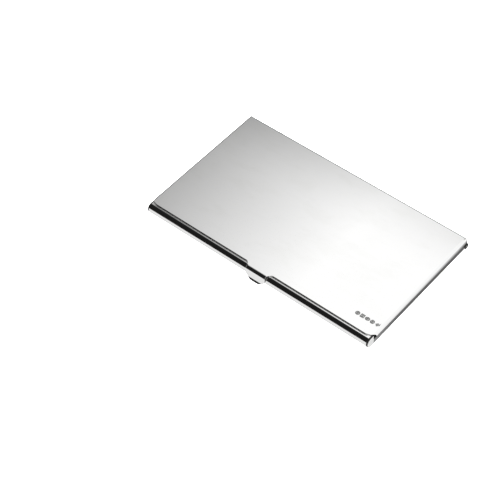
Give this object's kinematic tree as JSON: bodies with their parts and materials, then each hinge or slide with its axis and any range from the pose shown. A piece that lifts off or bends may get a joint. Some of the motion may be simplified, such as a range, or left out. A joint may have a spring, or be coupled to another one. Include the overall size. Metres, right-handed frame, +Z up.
{
  "type": "business card case",
  "caption": "Slim hinged business card case in polished silver sheet, with a flat lid, a thumb tongue over a half-round front rail and a sprung card bed.",
  "frame": {"origin": "centre of the bottom of the closed case's bounding box, on the surface that the case rests on", "axes": "+X along the case to the right seen from the front, +Y from the thumb tongue back to the hinge, +Z up through the lid"},
  "size_m": [0.0966, 0.0594, 0.0049],
  "materials": {
    "polished_silver": "mirror polished silver plate with faint wiping marks",
    "hinge_silver": "polished silver plate, slightly duller than the sheet",
    "pin_wire": "drawn wire, cut ends",
    "spring_steel": "rolled spring strip with lengthwise grain"
  },
  "bodies": {
    "base": {"base_tray": "polished_silver", "front_rail": "polished_silver", "base_knuckle_inner_left": "hinge_silver", "base_knuckle_inner_right": "hinge_silver", "hinge_pin": "pin_wire", "spring_foot": "spring_steel", "rivet_left": "hinge_silver", "rivet_right": "hinge_silver"},
    "lid": {"lid_shell": "polished_silver", "lid_knuckle_left": "hinge_silver", "lid_knuckle_centre": "hinge_silver", "lid_knuckle_right": "hinge_silver"},
    "card_spring": {"spring_leaf": "spring_steel"}
  },
  "joints": [
    {"name": "lid_hinge", "type": "hinge", "parent": "base", "child": "lid", "pos_m": [0, 0.02861, 0.00112], "axis": [-1, 0, 0], "range_deg": [0, 95]},
    {"name": "card_spring_flex", "type": "hinge", "parent": "base", "child": "card_spring", "pos_m": [0, 0.01596, 0.00057], "axis": [1, 0, 0], "range_deg": [0, 2.8], "stiffness_Nm_per_rad": 0.2}
  ]
}
